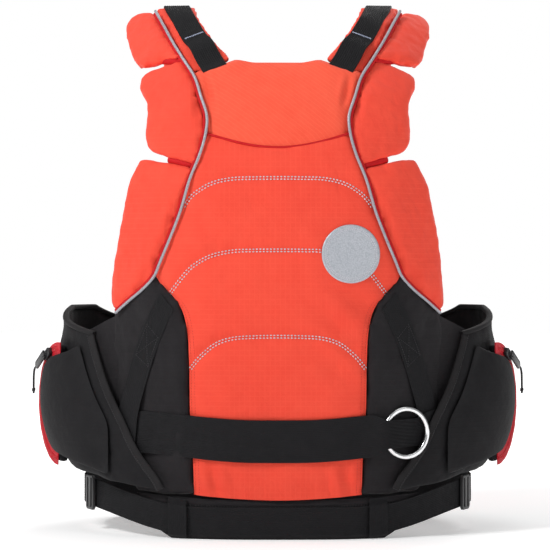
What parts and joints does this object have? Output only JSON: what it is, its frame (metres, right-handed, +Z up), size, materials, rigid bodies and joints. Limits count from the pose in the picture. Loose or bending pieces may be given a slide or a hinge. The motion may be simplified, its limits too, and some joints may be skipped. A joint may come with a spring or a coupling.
{
  "type": "whitewater rescue life jacket",
  "caption": "Padded orange and black buoyancy vest with side pockets, hinged foam flaps, rescue belt with steel ring, waist belt and quick-release hardware.",
  "frame": {"origin": "under the middle of the jacket's bounding box, on the surface that its hems stand on", "axes": "+Z up, wearer faces +Y, wearer's right is +X; the back panel faces -Y"},
  "size_m": [0.535, 0.34, 0.565],
  "materials": {
    "orange_cloth": "ripstop weave, matt",
    "yoke_cloth": "ripstop weave, matt",
    "black_cloth": "matt",
    "black_webbing": "ribbed weave",
    "lining": "matt mesh",
    "foam": "closed-cell foam",
    "red_tape": "zip tape with moulded teeth",
    "reflective": "retroreflective, silver grey",
    "steel": "polished stainless",
    "black_plastic": "moulded, slight sheen",
    "red_plastic": "moulded",
    "cord": "braided"
  },
  "bodies": {
    "jacket": {"back_foam_core": "foam", "back_liner": "lining", "back_yoke_cover": "yoke_cloth", "back_centre_cover": "orange_cloth", "back_side_pad_right": "black_cloth", "back_side_pad_left": "black_cloth", "piping_right": "reflective", "piping_left": "reflective", "shoulder_pad_right": "orange_cloth", "shoulder_pad_left": "orange_cloth", "shoulder_webbing_right": "black_webbing", "shoulder_webbing_left": "black_webbing", "front_foam_core": "foam", "front_cover": "orange_cloth", "front_liner": "lining", "hem_back": "black_cloth", "hem_front": "black_cloth", "harness_strap_right": "black_webbing", "harness_strap_left": "black_webbing", "rescue_belt": "black_webbing", "waist_belt": "black_webbing", "hem_belt_loop_right": "black_webbing", "hem_belt_loop_left": "black_webbing", "side_panel_right": "black_cloth", "side_panel_left": "black_cloth", "side_pocket_right": "black_cloth", "side_pocket_left": "black_cloth", "side_zip_tape_right": "red_tape", "side_zip_tape_left": "red_tape", "reflective_patch": "reflective", "shoulder_lock_right": "black_plastic", "shoulder_lock_left": "black_plastic", "release_frame": "black_plastic", "release_tail": "black_webbing", "release_ball": "red_plastic", "waist_buckle_socket": "black_plastic", "chest_pocket": "black_cloth", "chest_zip_tape": "red_tape", "lash_tab": "black_plastic"},
    "side_zip_slider_right": {"side_zip_slider_right": "black_plastic"},
    "side_zip_pull_right": {"side_zip_pull_right": "black_plastic", "side_pull_cord_right": "cord"},
    "shoulder_flap_right": {"shoulder_flap_right": "orange_cloth"},
    "arm_flap_right": {"arm_flap_right": "orange_cloth"},
    "side_flap_right": {"side_flap_right": "orange_cloth"},
    "waist_adjuster_right": {"waist_adjuster_right": "black_plastic"},
    "side_zip_slider_left": {"side_zip_slider_left": "black_plastic"},
    "side_zip_pull_left": {"side_zip_pull_left": "black_plastic", "side_pull_cord_left": "cord"},
    "shoulder_flap_left": {"shoulder_flap_left": "orange_cloth"},
    "arm_flap_left": {"arm_flap_left": "orange_cloth"},
    "side_flap_left": {"side_flap_left": "orange_cloth"},
    "waist_adjuster_left": {"waist_adjuster_left": "black_plastic"},
    "tether_ring": {"tether_ring": "steel"},
    "release_lever": {"release_lever": "red_plastic"},
    "waist_buckle_plug": {"waist_buckle_plug": "black_plastic"},
    "chest_zip_slider": {"chest_zip_slider": "black_plastic"},
    "chest_zip_pull": {"chest_zip_pull": "black_plastic"}
  },
  "joints": [
    {"name": "side_zip_right", "type": "hinge", "parent": "jacket", "child": "side_zip_slider_right", "pos_m": [0.23448, -0.05378, 0.1343], "axis": [0.9117, -0.4109, 0], "range_deg": [-138, 15]},
    {"name": "side_pull_right", "type": "hinge", "parent": "side_zip_slider_right", "child": "side_zip_pull_right", "pos_m": [0.25202, -0.03141, 0.18622], "axis": [-0.1927, -0.4276, -0.8832], "range_deg": [0, 100]},
    {"name": "shoulder_flap_bend_right", "type": "hinge", "parent": "jacket", "child": "shoulder_flap_right", "pos_m": [0.11874, -0.06866, 0.53135], "axis": [-0.311, -0.7709, -0.5559], "range_deg": [0, 20], "stiffness_Nm_per_rad": 0.4, "springref_deg": -2.86},
    {"name": "arm_flap_bend_right", "type": "hinge", "parent": "jacket", "child": "arm_flap_right", "pos_m": [0.09312, -0.14026, 0.44403], "axis": [-0.116, -0.3519, -0.9288], "range_deg": [0, 20], "stiffness_Nm_per_rad": 0.4, "springref_deg": -2.86},
    {"name": "side_flap_bend_right", "type": "hinge", "parent": "jacket", "child": "side_flap_right", "pos_m": [0.12845, -0.14941, 0.30163], "axis": [0.4652, 0.2531, -0.8483], "range_deg": [0, 20], "stiffness_Nm_per_rad": 0.4, "springref_deg": -2.86},
    {"name": "waist_adjuster_slide_right", "type": "slide", "parent": "jacket", "child": "waist_adjuster_right", "axis": [0.4202, 0.9074, 0], "range_m": [-0.006, 0.006]},
    {"name": "side_zip_left", "type": "hinge", "parent": "jacket", "child": "side_zip_slider_left", "pos_m": [-0.23448, -0.05378, 0.1343], "axis": [0.9117, 0.4109, 0], "range_deg": [-138, 15]},
    {"name": "side_pull_left", "type": "hinge", "parent": "side_zip_slider_left", "child": "side_zip_pull_left", "pos_m": [-0.25202, -0.03141, 0.18622], "axis": [-0.1927, 0.4276, 0.8832], "range_deg": [0, 100]},
    {"name": "shoulder_flap_bend_left", "type": "hinge", "parent": "jacket", "child": "shoulder_flap_left", "pos_m": [-0.11874, -0.06866, 0.53135], "axis": [-0.311, 0.7709, 0.5559], "range_deg": [0, 20], "stiffness_Nm_per_rad": 0.4, "springref_deg": -2.86},
    {"name": "arm_flap_bend_left", "type": "hinge", "parent": "jacket", "child": "arm_flap_left", "pos_m": [-0.09312, -0.14026, 0.44403], "axis": [-0.116, 0.3519, 0.9288], "range_deg": [0, 20], "stiffness_Nm_per_rad": 0.4, "springref_deg": -2.86},
    {"name": "side_flap_bend_left", "type": "hinge", "parent": "jacket", "child": "side_flap_left", "pos_m": [-0.12845, -0.14941, 0.30163], "axis": [0.4652, -0.2531, 0.8483], "range_deg": [0, 20], "stiffness_Nm_per_rad": 0.4, "springref_deg": -2.86},
    {"name": "waist_adjuster_slide_left", "type": "slide", "parent": "jacket", "child": "waist_adjuster_left", "axis": [-0.4202, 0.9074, 0], "range_m": [-0.006, 0.006]},
    {"name": "tether_ring_spin", "type": "hinge", "parent": "jacket", "child": "tether_ring", "pos_m": [0.13193, -0.14123, 0.10889], "axis": [0.432, -0.9019, 0], "continuous": true},
    {"name": "release_lever_lift", "type": "hinge", "parent": "jacket", "child": "release_lever", "pos_m": [0.0152, 0.15635, 0.10109], "axis": [0, -0.071, -0.9975], "range_deg": [0, 80]},
    {"name": "waist_buckle_slide", "type": "slide", "parent": "jacket", "child": "waist_buckle_plug", "axis": [1, 0, 0], "range_m": [0, 0.032]},
    {"name": "chest_zip", "type": "slide", "parent": "jacket", "child": "chest_zip_slider", "axis": [0, 0.046, -0.9989], "range_m": [-0.006, 0.078]},
    {"name": "chest_pull", "type": "hinge", "parent": "chest_zip_slider", "child": "chest_zip_pull", "pos_m": [-0.03427, 0.16796, 0.30028], "axis": [0.999, 0.0449, 0.0021], "range_deg": [0, 100]}
  ]
}
